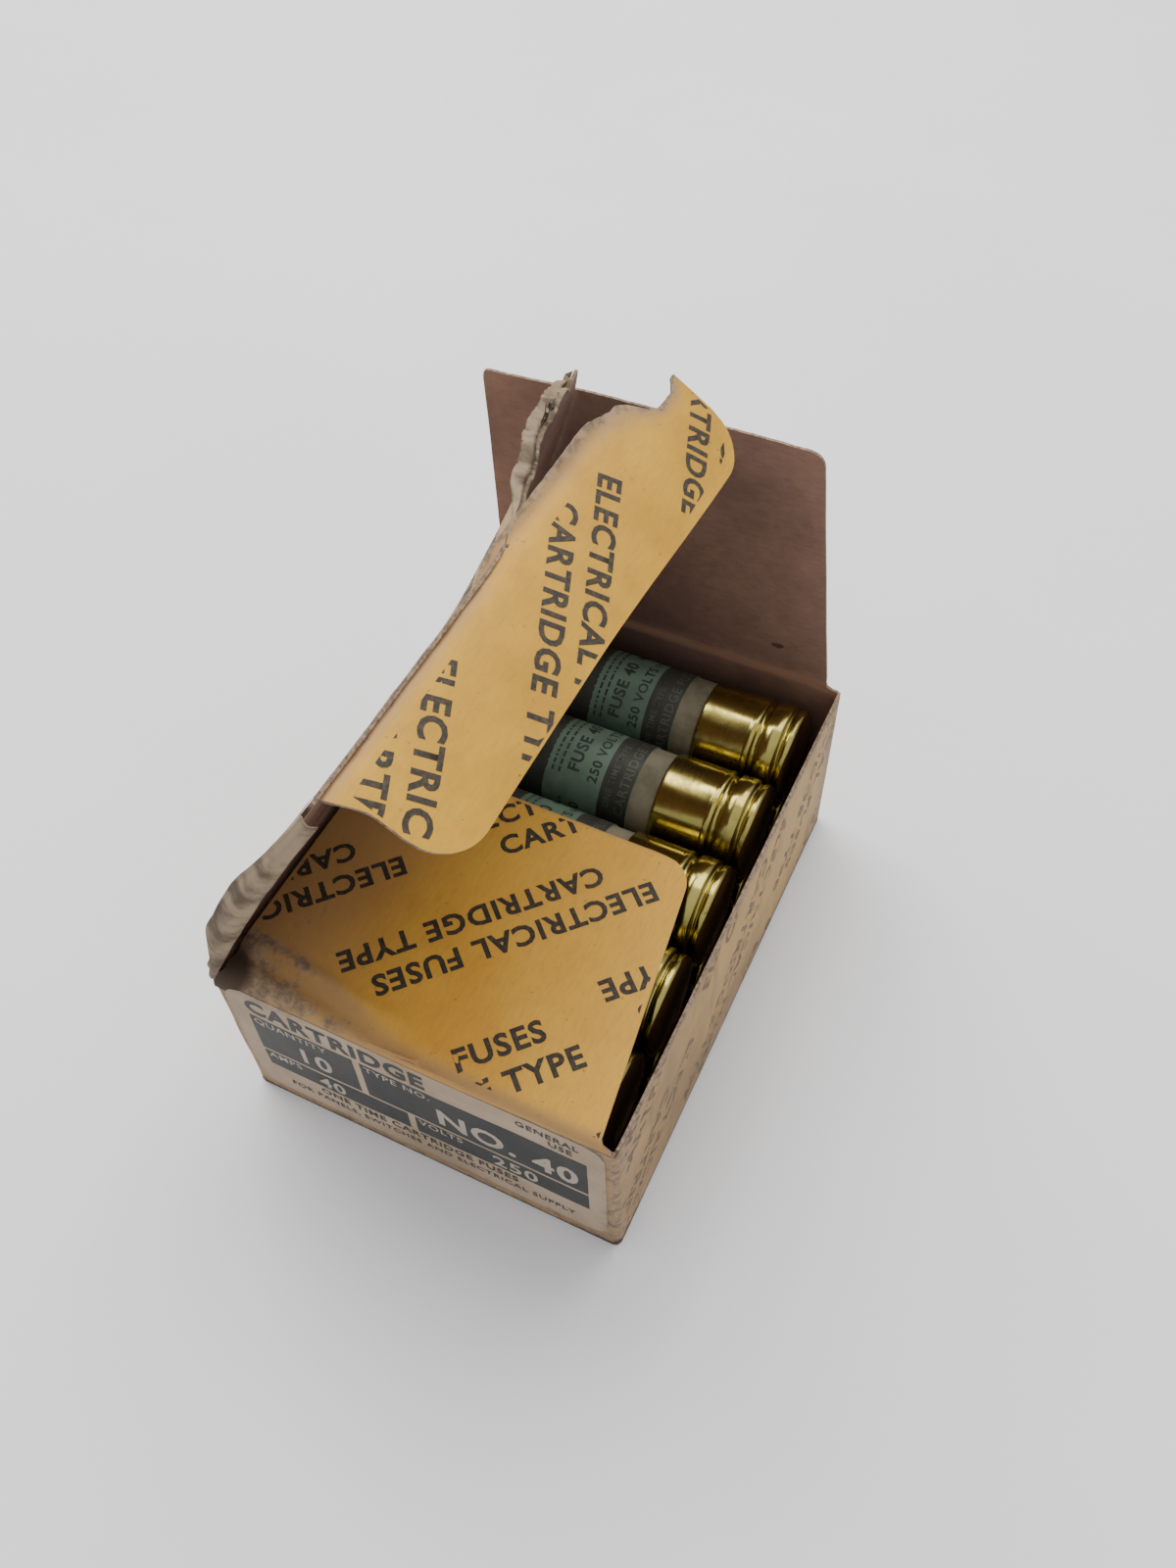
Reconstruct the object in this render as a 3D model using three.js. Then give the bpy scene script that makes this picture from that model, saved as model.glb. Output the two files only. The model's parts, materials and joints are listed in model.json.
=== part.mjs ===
// Opened folding carton of ten cartridge fuses, in two layers of five.
// Millimetres, +Z up. The origin is the centre of the carton's base; +X points to the side that
// the tuck flap closes against, -Y to the labelled end.
import * as THREE from "three";

// Carton
const BOARD = 0.6; // thickness of the folding board
const WIDTH = 81.4; // outside, X
const LENGTH = 111.4; // outside, Y
const HEIGHT = 44; // top edge of the two long walls
const END_HEIGHT = HEIGHT - BOARD - 0.1; // the end walls stop lower, so their flaps lie under the lid
const GLUE_WIDTH = 14; // glue flap, along X
const MINOR_FLAP = LENGTH / 2 - 2; // bottom flaps of the two ends
const CREASE_GAP = 0.15; // board left out beside a crease that turns
const SIDE_PLAY = 0.3; // clearance of a folded flap to the wall beside it

// Lid and tuck flap
const LID_OPEN_DEG = 61; // 0 is closed
const LID_REACH = 79.4; // crease to crease
const LID_END_INSET = 1.0; // lid edge to end wall face, each end
const TUCK_DEPTH = 21;
const TUCK_FOLD_DEG = 94.5; // 0 is in line with the lid
const TUCK_END_INSET = 4.2;
const TUCK_CORNER = 9;

// Dust flaps
const DUST_DEPTH = 57;
const DUST_LID_INSET = 2.2; // edge on the lid's crease side
const DUST_ROOT_INSET = 3.3; // edge on the tuck side, beside the crease
const DUST_TIP_INSET = 10.8; // the same edge at the far end
const DUST_CORNER = 5;

// Fuses: 3 in long, 13/16 in across the ferrules
const FUSE_DIAMETER = 20.64;
const FUSE_LENGTH = 76.2;
const FUSE_PITCH = 21.7;
const FUSES_PER_LAYER = 5;
const LAYER_GAP = 0.1;
const FERRULE_LENGTH = 20.5;
const FERRULE_WALL = 0.7;
const FERRULE_END = 1.2;
const FIT_GAP = 0.1; // radial, between tube and ferrule
const GROOVE_START = 6.6; // rejection groove, from the ferrule's end face
const GROOVE_WIDTH = 2.4;
const GROOVE_DEPTH = 0.5;
const TUBE_RADIUS = FUSE_DIAMETER / 2 - FERRULE_WALL - FIT_GAP;
const TUBE_WALL = 1.8;
const LABEL_THICKNESS = 0.25;
const ELEMENT_SIZE = [8, 0.5];
const ROUND_SIDES = 20;

// End label
const LABEL = { width: 77, height: 37.5, corner: 4, thickness: 0.1, base: 4.4 };

const rad = THREE.MathUtils.degToRad;
const carton = new THREE.Group();

const material = (color, roughness, metalness = 0) =>
  new THREE.MeshStandardMaterial({ color, roughness, metalness });
const MATERIALS = {
  board: () => material("#c8a05a", 0.85),
  label: () => material("#d2c4b4", 0.8),
  brass: () => material("#b8923c", 0.3, 1),
  fibre: () => material("#8f8a82", 0.9),
  wrap: () => material("#5f7566", 0.75),
  zinc: () => material("#9a9a96", 0.45, 1),
  filler: () => material("#b5a78c", 1),
};

function add(parent, name, geometry, finish) {
  const mesh = new THREE.Mesh(geometry, MATERIALS[finish]());
  mesh.name = name;
  parent.add(mesh);
  return mesh;
}

// A box given by its lowest and highest corners.
function slab(low, high) {
  const size = high.map((value, axis) => value - low[axis]);
  const middle = high.map((value, axis) => (value + low[axis]) / 2);
  return new THREE.BoxGeometry(...size).translate(...middle);
}

// A sheet of board in the XY plane, from z = 0 up to its thickness.
const sheet = (shape, thickness = BOARD) =>
  new THREE.ExtrudeGeometry(shape, { depth: thickness, bevelEnabled: false, curveSegments: 4 });

function group(parent, position, rotation = [0, 0, 0]) {
  const made = new THREE.Group();
  made.position.set(...position);
  made.rotation.set(...rotation);
  parent.add(made);
  return made;
}

function addWalls() {
  const x = WIDTH / 2;
  const y = LENGTH / 2;
  for (const [side, sign] of [["left", -1], ["right", 1]]) {
    const faces = [sign * x, sign * (x - BOARD)].sort((a, b) => a - b);
    const wall = slab([faces[0], -y, BOARD], [faces[1], y, HEIGHT]);
    add(carton, `${side}_side_panel`, wall, "board");
  }
  for (const [end, sign] of [["front", -1], ["rear", 1]]) {
    const faces = [sign * y, sign * (y - BOARD)].sort((a, b) => a - b);
    const wall = slab([-x + BOARD, faces[0], BOARD], [x - BOARD, faces[1], END_HEIGHT]);
    add(carton, `${end}_end_panel`, wall, "board");
  }
  const inner = y - BOARD;
  const glue = slab([-x + BOARD, inner - BOARD, 3 * BOARD],
    [-x + BOARD + GLUE_WIDTH, inner, END_HEIGHT - 2]);
  add(carton, "glue_flap", glue, "board");
}

function addBottom() {
  const x = WIDTH / 2;
  const y = LENGTH / 2;
  const inner = slab([-x + BOARD, -y + BOARD, BOARD], [x - BOARD, y - BOARD, 2 * BOARD]);
  add(carton, "bottom_outer_flap", slab([-x, -y, 0], [x, y, BOARD]), "board");
  add(carton, "bottom_inner_flap", inner, "board");
  for (const [end, sign] of [["front", -1], ["rear", 1]]) {
    const edges = [sign * (y - BOARD), sign * (y - BOARD - MINOR_FLAP)].sort((a, b) => a - b);
    const flap = slab([-x + BOARD + SIDE_PLAY, edges[0], 2 * BOARD],
      [x - BOARD - SIDE_PLAY, edges[1], 3 * BOARD]);
    add(carton, `bottom_${end}_minor_flap`, flap, "board");
  }
}

function roundedRectangle(width, height, corner) {
  const shape = new THREE.Shape();
  const [x, y] = [width / 2 - corner, height / 2 - corner];
  shape.absarc(x, y, corner, 0, Math.PI / 2);
  shape.absarc(-x, y, corner, Math.PI / 2, Math.PI);
  shape.absarc(-x, -y, corner, Math.PI, 1.5 * Math.PI);
  shape.absarc(x, -y, corner, 1.5 * Math.PI, 2 * Math.PI);
  return shape;
}

function addEndLabel() {
  const outline = roundedRectangle(LABEL.width, LABEL.height, LABEL.corner);
  const height = LABEL.base + LABEL.height / 2;
  const front = group(carton, [0, -LENGTH / 2 - 0.02, height], [Math.PI / 2, 0, 0]);
  add(front, "front_label", sheet(outline, LABEL.thickness), "label");
}

// The lid's frame: origin on its crease, +X to the tuck flap, drawn closed and turned open.
function addLid() {
  const half = LENGTH / 2 - LID_END_INSET;
  const lid = group(carton, [-WIDTH / 2, 0, HEIGHT], [0, -rad(LID_OPEN_DEG), 0]);
  add(lid, "lid_panel", slab([CREASE_GAP, -half, 0], [LID_REACH - CREASE_GAP, half, BOARD]), "board");
  addTuckFlap(group(lid, [LID_REACH, 0, 0], [0, rad(TUCK_FOLD_DEG), 0]));
}

function addTuckFlap(frame) {
  const half = LENGTH / 2 - TUCK_END_INSET;
  const straight = half - TUCK_CORNER;
  const outline = new THREE.Shape();
  outline.moveTo(CREASE_GAP, -half);
  outline.lineTo(TUCK_DEPTH - TUCK_CORNER, -half);
  outline.absarc(TUCK_DEPTH - TUCK_CORNER, -straight, TUCK_CORNER, -Math.PI / 2, 0);
  outline.absarc(TUCK_DEPTH - TUCK_CORNER, straight, TUCK_CORNER, 0, Math.PI / 2);
  outline.lineTo(CREASE_GAP, half);
  add(frame, "tuck_flap", sheet(outline), "board");
}

// A dust flap's outline: X across the carton, Y from the crease to the far edge.
function dustOutline() {
  const left = -WIDTH / 2 + DUST_LID_INSET;
  const root = WIDTH / 2 - DUST_ROOT_INSET;
  const tip = WIDTH / 2 - DUST_TIP_INSET;
  const outline = new THREE.Shape();
  outline.moveTo(left, CREASE_GAP);
  outline.lineTo(root, CREASE_GAP);
  outline.lineTo(tip + 0.7, DUST_DEPTH - DUST_CORNER);
  outline.quadraticCurveTo(tip, DUST_DEPTH, tip - DUST_CORNER, DUST_DEPTH);
  outline.lineTo(left, DUST_DEPTH);
  return outline;
}

function addDustFlaps() {
  const edge = LENGTH / 2;
  const lying = group(carton, [0, -edge, END_HEIGHT]);
  add(lying, "front_dust_flap", sheet(dustOutline()), "board");
  const standing = group(carton, [0, edge, END_HEIGHT], [Math.PI / 2, 0, 0]);
  add(standing, "rear_dust_flap", sheet(dustOutline()), "board");
}

// A lathe turned about X: the profile is a closed list of [distance along X, radius].
function turned(profile) {
  const points = profile.map(([along, radius]) => new THREE.Vector2(radius, along));
  points.push(points[0].clone());
  return new THREE.LatheGeometry(points, ROUND_SIDES).rotateZ(-Math.PI / 2);
}

// A ferrule whose closed end faces +X at x = 0 and whose mouth faces -X.
function ferruleProfile(grooved) {
  const outer = FUSE_DIAMETER / 2;
  const bore = outer - FERRULE_WALL;
  const bottom = outer - GROOVE_DEPTH;
  const groove = [
    [-GROOVE_START - GROOVE_WIDTH, outer],
    [-GROOVE_START - GROOVE_WIDTH, bottom],
    [-GROOVE_START, bottom],
    [-GROOVE_START, outer],
  ];
  return [
    [-FERRULE_END, 0],
    [-FERRULE_END, bore],
    [-FERRULE_LENGTH, bore],
    [-FERRULE_LENGTH, outer],
    ...(grooved ? groove : []),
    [0, outer],
    [0, 0],
  ];
}

// A plain ring, or a solid rod where its inner radius is 0.
const ringProfile = (end, inner, outer) => [[-end, inner], [-end, outer], [end, outer], [end, inner]];

function addFerrules(frame, name) {
  const half = FUSE_LENGTH / 2;
  const right = turned(ferruleProfile(true)).translate(half, 0, 0);
  const left = turned(ferruleProfile(false)).rotateZ(Math.PI).translate(-half, 0, 0);
  add(frame, `${name}_rejection_ferrule`, right, "brass");
  add(frame, `${name}_plain_ferrule`, left, "brass");
}

// Upper fuses show, so they are made of all their pieces.
function addUpperFuse(frame, name) {
  const end = FUSE_LENGTH / 2 - FERRULE_END - 0.1;
  const wrapEnd = FUSE_LENGTH / 2 - FERRULE_LENGTH - 5;
  const bore = TUBE_RADIUS - TUBE_WALL;
  const [elementWidth, elementThickness] = ELEMENT_SIZE;
  const strip = [end, elementWidth / 2, elementThickness / 2];
  addFerrules(frame, name);
  add(frame, `${name}_fibre_tube`, turned(ringProfile(end, bore, TUBE_RADIUS)), "fibre");
  const wrap = ringProfile(wrapEnd, TUBE_RADIUS + FIT_GAP, TUBE_RADIUS + FIT_GAP + LABEL_THICKNESS);
  add(frame, `${name}_paper_wrap`, turned(wrap), "wrap");
  add(frame, `${name}_element`, slab(strip.map((value) => -value), strip), "zinc");
  add(frame, `${name}_sand_filler`, sandFiller(end, bore, strip), "filler");
}

// The sand packs one side of the tube's bore, beside the strip.
function sandFiller(end, bore, strip) {
  const top = strip[2] + 0.3;
  const reach = bore - 0.2;
  const start = Math.asin(top / reach);
  const half = new THREE.Shape();
  half.absarc(0, 0, reach, start, Math.PI - start);
  const length = 2 * end - 1;
  return new THREE.ExtrudeGeometry(half, { depth: length, bevelEnabled: false, curveSegments: 8 })
    .translate(0, 0, -length / 2)
    .rotateX(Math.PI / 2)
    .rotateZ(Math.PI / 2);
}

// Lower fuses are hidden, so each tube is solid and carries its filler.
function addLowerFuse(frame, name) {
  const end = FUSE_LENGTH / 2 - FERRULE_END - 0.1;
  addFerrules(frame, name);
  add(frame, `${name}_filled_tube`, turned(ringProfile(end, 0, TUBE_RADIUS)), "fibre");
}

function addFuses() {
  const x = -WIDTH / 2 + BOARD + 0.1 + FUSE_LENGTH / 2;
  const radius = FUSE_DIAMETER / 2;
  const lowZ = 3 * BOARD + LAYER_GAP + radius;
  const highZ = lowZ + 2 * radius + LAYER_GAP;
  for (let index = 0; index < FUSES_PER_LAYER; index += 1) {
    const y = FUSE_PITCH * ((FUSES_PER_LAYER - 1) / 2 - index);
    addUpperFuse(group(carton, [x, y, highZ]), `upper_fuse_${index + 1}`);
    addLowerFuse(group(carton, [x, y, lowZ]), `lower_fuse_${index + 1}`);
  }
}

addWalls();
addBottom();
addEndLabel();
addLid();
addDustFlaps();
addFuses();

export default carton;
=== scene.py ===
"""An opened, worn folding carton of ten cartridge fuses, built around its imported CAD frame.

Lengths are in millimetres until a mesh is made, which puts them in metres.
"""
import json
import math
import random

import bmesh
import bpy
from mathutils import Matrix, Vector, noise


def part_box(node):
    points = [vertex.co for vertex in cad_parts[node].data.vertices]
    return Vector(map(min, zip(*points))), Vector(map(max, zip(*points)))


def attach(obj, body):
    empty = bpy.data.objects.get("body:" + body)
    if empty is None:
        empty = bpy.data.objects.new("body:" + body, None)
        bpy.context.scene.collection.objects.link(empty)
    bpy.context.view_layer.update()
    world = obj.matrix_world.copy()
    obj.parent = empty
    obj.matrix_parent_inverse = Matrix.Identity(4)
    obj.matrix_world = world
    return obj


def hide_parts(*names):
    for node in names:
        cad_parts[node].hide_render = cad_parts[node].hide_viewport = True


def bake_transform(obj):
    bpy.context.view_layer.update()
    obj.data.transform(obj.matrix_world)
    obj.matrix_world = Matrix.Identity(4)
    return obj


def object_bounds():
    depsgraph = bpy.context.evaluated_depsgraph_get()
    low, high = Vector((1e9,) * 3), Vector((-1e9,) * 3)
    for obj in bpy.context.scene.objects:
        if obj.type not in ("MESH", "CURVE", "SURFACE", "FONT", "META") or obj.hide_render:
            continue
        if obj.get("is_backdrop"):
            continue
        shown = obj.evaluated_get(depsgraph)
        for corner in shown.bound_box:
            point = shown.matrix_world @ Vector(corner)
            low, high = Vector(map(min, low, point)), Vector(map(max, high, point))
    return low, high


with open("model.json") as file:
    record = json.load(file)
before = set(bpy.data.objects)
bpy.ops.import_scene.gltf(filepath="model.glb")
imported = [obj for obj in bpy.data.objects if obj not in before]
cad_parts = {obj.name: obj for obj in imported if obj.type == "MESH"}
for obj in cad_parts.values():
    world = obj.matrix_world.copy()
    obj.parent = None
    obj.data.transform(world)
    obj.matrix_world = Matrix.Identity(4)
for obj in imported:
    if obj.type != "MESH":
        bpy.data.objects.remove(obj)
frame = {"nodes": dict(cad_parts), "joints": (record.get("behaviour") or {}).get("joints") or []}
cad_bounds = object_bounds()

MM = 0.001


def node_box(node):
    """A CAD node's lowest and highest corners, in mm."""
    low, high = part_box(node)
    return low / MM, high / MM


def joint(name):
    return next(j for j in frame["joints"] if j["name"] == name)


# The carton's sizes come from the frame.
BASE_LOW, BASE_HIGH = node_box("bottom_outer_flap")
HALF_X, HALF_Y = BASE_HIGH.x, BASE_HIGH.y
WALL_TOP = node_box("right_side_panel")[1].z
FLAP_LOW, FLAP_HIGH = node_box("front_dust_flap")
BOARD = BASE_HIGH.z - BASE_LOW.z
FLAP_TOP = FLAP_HIGH.z
FLAP_DEPTH = FLAP_HIGH.y + HALF_Y
LID_AXIS = Vector(joint("lid_crease")["pos_m"]) / MM
TUCK_AXIS = Vector(joint("tuck_crease")["pos_m"]) / MM
LID_SPAN = TUCK_AXIS - LID_AXIS
LID_ANGLE = math.atan2(LID_SPAN.z, LID_SPAN.x)
LID_REACH = LID_SPAN.length
LID_HALF = node_box("lid_panel")[1].y
TUCK_HALF = node_box("tuck_flap")[1].y
TUCK_FOLD = math.radians(-joint("tuck_crease")["range_deg"][0])
TUCK_ANGLE = LID_ANGLE - TUCK_FOLD
TUCK_RUN = node_box("tuck_flap")[1].x - TUCK_AXIS.x + BOARD * math.sin(TUCK_ANGLE)
TUCK_DEPTH = TUCK_RUN / math.cos(TUCK_ANGLE)
PRINT_LIFT = 0.04  # ink above the board


# ---- small helpers

def lerp(a, b, t):
    return a + (b - a) * t


def smooth(t):
    t = min(1.0, max(0.0, t))
    return t * t * (3 - 2 * t)


def rough(x, y, seed, size, octaves=3):
    """Noise of about -1 to 1 whose features are size mm across."""
    value, scale, weight = 0.0, 1.0 / size, 1.0
    for _ in range(octaves):
        value += weight * noise.noise(Vector((x * scale, y * scale, seed)))
        scale *= 2.1
        weight *= 0.5
    return value


def make_object(name, verts, faces, materials, indices=None, wear=None):
    """A smooth-shaded mesh object from points in mm."""
    mesh = bpy.data.meshes.new(name)
    mesh.from_pydata([tuple(v * MM for v in point) for point in verts], [], faces)
    for material in materials:
        mesh.materials.append(material)
    if indices:
        mesh.polygons.foreach_set("material_index", indices)
    if wear:
        layer = mesh.attributes.new("wear", "FLOAT", "POINT")
        layer.data.foreach_set("value", wear)
    mesh.validate()
    mesh.shade_smooth()
    made = bpy.data.objects.new(name, mesh)
    bpy.context.scene.collection.objects.link(made)
    return made


def face_outward(obj):
    """Turns every face of a closed mesh to the outside."""
    mesh = bmesh.new()
    mesh.from_mesh(obj.data)
    bmesh.ops.recalc_face_normals(mesh, faces=mesh.faces)
    mesh.to_mesh(obj.data)
    mesh.free()


def sharpen(obj, degrees):
    """Keeps the edges sharper than an angle crisp on a smooth-shaded mesh."""
    mesh = bmesh.new()
    mesh.from_mesh(obj.data)
    for edge in mesh.edges:
        if len(edge.link_faces) == 2 and edge.calc_face_angle(0) > math.radians(degrees):
            edge.smooth = False
    mesh.to_mesh(obj.data)
    mesh.free()


# ---- node materials

class Nodes:
    """A short way to write a node material."""

    def __init__(self, name):
        self.material = bpy.data.materials.new(name)
        self.material.use_nodes = True
        self.tree = self.material.node_tree
        self.shader = self.tree.nodes["Principled BSDF"]
        self.place = self.add("ShaderNodeTexCoord").outputs["Object"]

    def add(self, kind, inputs=None, **settings):
        node = self.tree.nodes.new(kind)
        for key, value in settings.items():
            setattr(node, key, value)
        for key, value in (inputs or {}).items():
            self.put(node.inputs[key], value)
        return node

    def put(self, socket, value):
        if isinstance(value, bpy.types.NodeSocket):
            self.tree.links.new(value, socket)
        else:
            socket.default_value = value

    def noise(self, scale, detail=4, roughness=0.6, stretch=(1, 1, 1)):
        mapped = self.add("ShaderNodeMapping", {"Vector": self.place, "Scale": stretch})
        made = self.add("ShaderNodeTexNoise", {"Vector": mapped.outputs[0], "Scale": scale,
                                               "Detail": detail, "Roughness": roughness})
        return made.outputs["Fac"]

    def ramp(self, value, low, high):
        made = self.add("ShaderNodeMapRange", {"Value": value, "From Min": low, "From Max": high})
        made.interpolation_type = "SMOOTHSTEP"
        return made.outputs[0]

    def mix(self, factor, a, b, blend="MIX"):
        made = self.add("ShaderNodeMix", data_type="RGBA", blend_type=blend)
        self.put(made.inputs[0], factor)
        self.put(made.inputs[6], a)
        self.put(made.inputs[7], b)
        return made.outputs[2]

    def math(self, operation, a, b=0.0):
        made = self.add("ShaderNodeMath", operation=operation)
        self.put(made.inputs[0], a)
        self.put(made.inputs[1], b)
        return made.outputs[0]

    def wear(self):
        return self.add("ShaderNodeAttribute", attribute_name="wear").outputs["Fac"]

    def finish(self, color, roughness, bump=None, strength=0.3, distance=0.0002, metallic=0.0):
        self.put(self.shader.inputs["Base Color"], color)
        self.put(self.shader.inputs["Roughness"], roughness)
        self.shader.inputs["Metallic"].default_value = metallic
        if bump is not None:
            made = self.add("ShaderNodeBump", {"Height": bump, "Strength": strength,
                                               "Distance": distance})
            self.put(self.shader.inputs["Normal"], made.outputs[0])
        return self.material


def rgb(red, green, blue):
    """A colour given as 0 to 255 sRGB values."""
    def linear(value):
        value /= 255
        return value / 12.92 if value <= 0.04045 else ((value + 0.055) / 1.055) ** 2.4
    return (linear(red), linear(green), linear(blue), 1.0)


def printed_board(name, base, shade, streak):
    """Printed board: mottled ink, fine fibres, and grey-brown bare paper where it is worn; the wear greying
    and grime are partly painted shade on the front flap.
    """
    n = Nodes(name)
    blotch = n.ramp(n.noise(35, 3), 0.35, 0.7)
    color = n.mix(blotch, base, shade)
    fibres = n.ramp(n.noise(1500, 3, 0.7, (1, 0.25, 1)), 0.35, 0.75)
    color = n.mix(n.math("MULTIPLY", fibres, 0.16), color, rgb(120, 88, 50))
    specks = n.ramp(n.noise(900, 2, 0.5), 0.71, 0.76)
    color = n.mix(n.math("MULTIPLY", specks, 0.5), color, rgb(110, 80, 50))
    wear = n.wear()
    # Greying toward a dull brown by wear: soiling, and on the front flap's left, painted shade under the lid.
    soiled = n.math("MULTIPLY", n.ramp(wear, 0.05, 0.38), 0.72)
    color = n.mix(soiled, color, rgb(158, 126, 92))
    scatter = n.math("MULTIPLY", n.math("SUBTRACT", n.noise(260, 5, 0.7), 0.5), 1.1)
    patch = n.ramp(n.math("ADD", wear, scatter), 0.42, 0.62)
    bare = n.mix(n.ramp(n.noise(420, 4, 0.7), 0.35, 0.65), rgb(172, 144, 110), rgb(124, 104, 84))
    streaks = n.ramp(n.noise(260, 3, 0.6, (1, 1, 0.12)), 0.52, 0.72)
    color = n.mix(n.math("MULTIPLY", streaks, streak), color, rgb(112, 86, 58))
    # The darkest grime where wear is highest: dirt, and at the front flap's front-left corner partly painted
    # shadow.
    grime_and_shade = n.mix(n.ramp(wear, 0.75, 1.15), bare, rgb(74, 58, 44))
    color = n.mix(patch, color, grime_and_shade)
    bump = n.math("ADD", n.math("MULTIPLY", n.noise(700, 5, 0.65), 0.6),
                  n.math("MULTIPLY", patch, n.noise(500, 5, 0.8)))
    return n.finish(color, n.mix(patch, (0.68,) * 3 + (1,), (0.92,) * 3 + (1,)), bump, 0.35)


def bare_board(name, base, shade):
    """The unprinted chipboard of the inside, with dark specks and rubbed, paler ridges."""
    n = Nodes(name)
    color = n.mix(n.ramp(n.noise(30, 4), 0.3, 0.7), base, shade)
    fibres = n.ramp(n.noise(1300, 4, 0.7, (0.3, 1, 1)), 0.3, 0.75)
    color = n.mix(n.math("MULTIPLY", fibres, 0.3), color, rgb(96, 68, 56))
    specks = n.ramp(n.noise(210, 2, 0.5), 0.73, 0.77)
    color = n.mix(n.math("MULTIPLY", specks, 0.75), color, rgb(40, 32, 30))
    color = n.mix(n.ramp(n.wear(), 0.3, 1.0), color, rgb(186, 142, 114))
    return n.finish(color, 0.88, n.noise(800, 5, 0.7), 0.4)


def raw_edge():
    n = Nodes("board_edge")
    plies = n.noise(900, 4, 0.8, (1, 1, 3))
    color = n.mix(n.ramp(plies, 0.35, 0.65), rgb(164, 140, 114), rgb(104, 86, 72))
    return n.finish(color, 0.95, plies, 0.6)


def torn_paper():
    n = Nodes("torn_paper")
    streak = n.noise(130, 4, 0.6)
    color = n.mix(n.ramp(streak, 0.38, 0.66), rgb(154, 134, 108), rgb(90, 74, 58))
    return n.finish(color, 0.95, n.noise(700, 5, 0.6), 0.25)


def ink(name, dark, worn, start):
    """Print that is rubbed through to the board's colour in places."""
    n = Nodes(name)
    color = n.mix(n.ramp(n.noise(1200, 4, 0.7), 0.35, 0.8), dark, worn)
    color = n.mix(n.ramp(n.noise(330, 5, 0.75), start, start + 0.1), color, rgb(184, 148, 96))
    return n.finish(color, 0.7, n.noise(700, 5, 0.65), 0.3)


def label_paper():
    n = Nodes("label_paper")
    color = n.mix(n.ramp(n.noise(60, 4), 0.35, 0.7), rgb(182, 160, 136), rgb(160, 138, 112))
    color = n.mix(n.math("MULTIPLY", n.ramp(n.noise(1100, 3, 0.7), 0.6, 0.8), 0.5), color, rgb(150, 132, 116))
    dirt = n.math("ADD", n.wear(), n.math("MULTIPLY", n.math("SUBTRACT", n.noise(300, 5, 0.75), 0.5), 1.3))
    color = n.mix(n.math("MULTIPLY", n.ramp(dirt, 0.35, 0.8), 0.8), color, rgb(122, 104, 88))
    return n.finish(color, 0.72, n.noise(900, 5, 0.7), 0.25)


def label_ink(name, dark, light, rub):
    """Label printing, rubbed through to the paper in places."""
    n = Nodes(name)
    color = n.mix(n.ramp(n.noise(90, 3), 0.35, 0.7), dark, light)
    rubbed = n.ramp(n.noise(420, 6, 0.8), 0.66, 0.74)
    color = n.mix(n.math("MULTIPLY", rubbed, rub), color, rgb(176, 160, 146))
    return n.finish(color, 0.6, n.noise(900, 5, 0.7), 0.2)


def brass():
    n = Nodes("ferrule_brass")
    tarnish = n.ramp(n.noise(110, 5, 0.65), 0.42, 0.72)
    color = n.mix(tarnish, rgb(176, 162, 90), rgb(114, 98, 54))
    spots = n.ramp(n.noise(520, 3, 0.6), 0.66, 0.74)
    color = n.mix(n.math("MULTIPLY", spots, 0.6), color, rgb(96, 72, 42))
    turning = n.noise(2600, 2, 0.5, (1, 0.02, 0.02))
    gloss = n.math("ADD", n.math("MULTIPLY", tarnish, 0.14), n.math("MULTIPLY", turning, 0.1))
    return n.finish(color, n.math("ADD", gloss, 0.12), turning, 0.05, 0.0001, 1.0)


def fibre():
    n = Nodes("fibre_tube")
    color = n.mix(n.ramp(n.noise(150, 4), 0.35, 0.7), rgb(132, 124, 100), rgb(100, 94, 74))
    winding = n.noise(1400, 3, 0.6, (1, 0.2, 0.2))
    return n.finish(color, 0.85, winding, 0.35)


def wrap_paper(name, base, shade):
    n = Nodes(name)
    color = n.mix(n.ramp(n.noise(120, 4), 0.35, 0.7), base, shade)
    scuff = n.ramp(n.noise(700, 5, 0.75), 0.62, 0.72)
    color = n.mix(n.math("MULTIPLY", scuff, 0.35), color, rgb(128, 138, 124))
    return n.finish(color, 0.55, n.noise(900, 4), 0.15)


def plain_sheet(name, color, roughness):
    n = Nodes(name)
    tint = n.mix(n.ramp(n.noise(6, 3), 0.3, 0.7), color, tuple(0.96 * c for c in color[:3]) + (1,))
    return n.finish(tint, roughness, n.noise(900, 3), 0.04)


YELLOW = printed_board("board_print", rgb(232, 174, 62), rgb(218, 156, 50), 0.06)
# The tuck flap's copy of the same print, darker and less blue: painted shade for the light its face catches.
SHADED_TUCK_PRINT = printed_board("board_print_tuck_shaded", rgb(214, 162, 42), rgb(198, 144, 36), 0.08)
YELLOW_WALL = printed_board("board_print_soiled", rgb(190, 152, 84), rgb(142, 112, 68), 0.5)
BROWN = bare_board("board_inside", rgb(150, 116, 98), rgb(112, 86, 74))
EDGE = raw_edge()
TORN = torn_paper()
INK = ink("print_ink", rgb(46, 40, 32), rgb(84, 70, 50), 0.68)
FADED_INK = ink("print_ink_faded", rgb(92, 78, 60), rgb(128, 106, 78), 0.5)
LABEL = label_paper()
LABEL_DARK = label_ink("label_block", rgb(36, 37, 36), rgb(50, 50, 46), 0.8)
LABEL_LIGHT = label_ink("label_reversed", rgb(180, 166, 148), rgb(164, 150, 132), 0.3)
BRASS = brass()
FIBRE = fibre()
GREEN = wrap_paper("wrap_green", rgb(112, 136, 114), rgb(94, 116, 98))
DARK_BAND = wrap_paper("wrap_band", rgb(62, 64, 54), rgb(48, 50, 42))
WRAP_INK = wrap_paper("wrap_ink", rgb(46, 56, 46), rgb(58, 68, 56))
BAND_INK = wrap_paper("band_ink", rgb(90, 94, 78), rgb(76, 80, 66))
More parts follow.
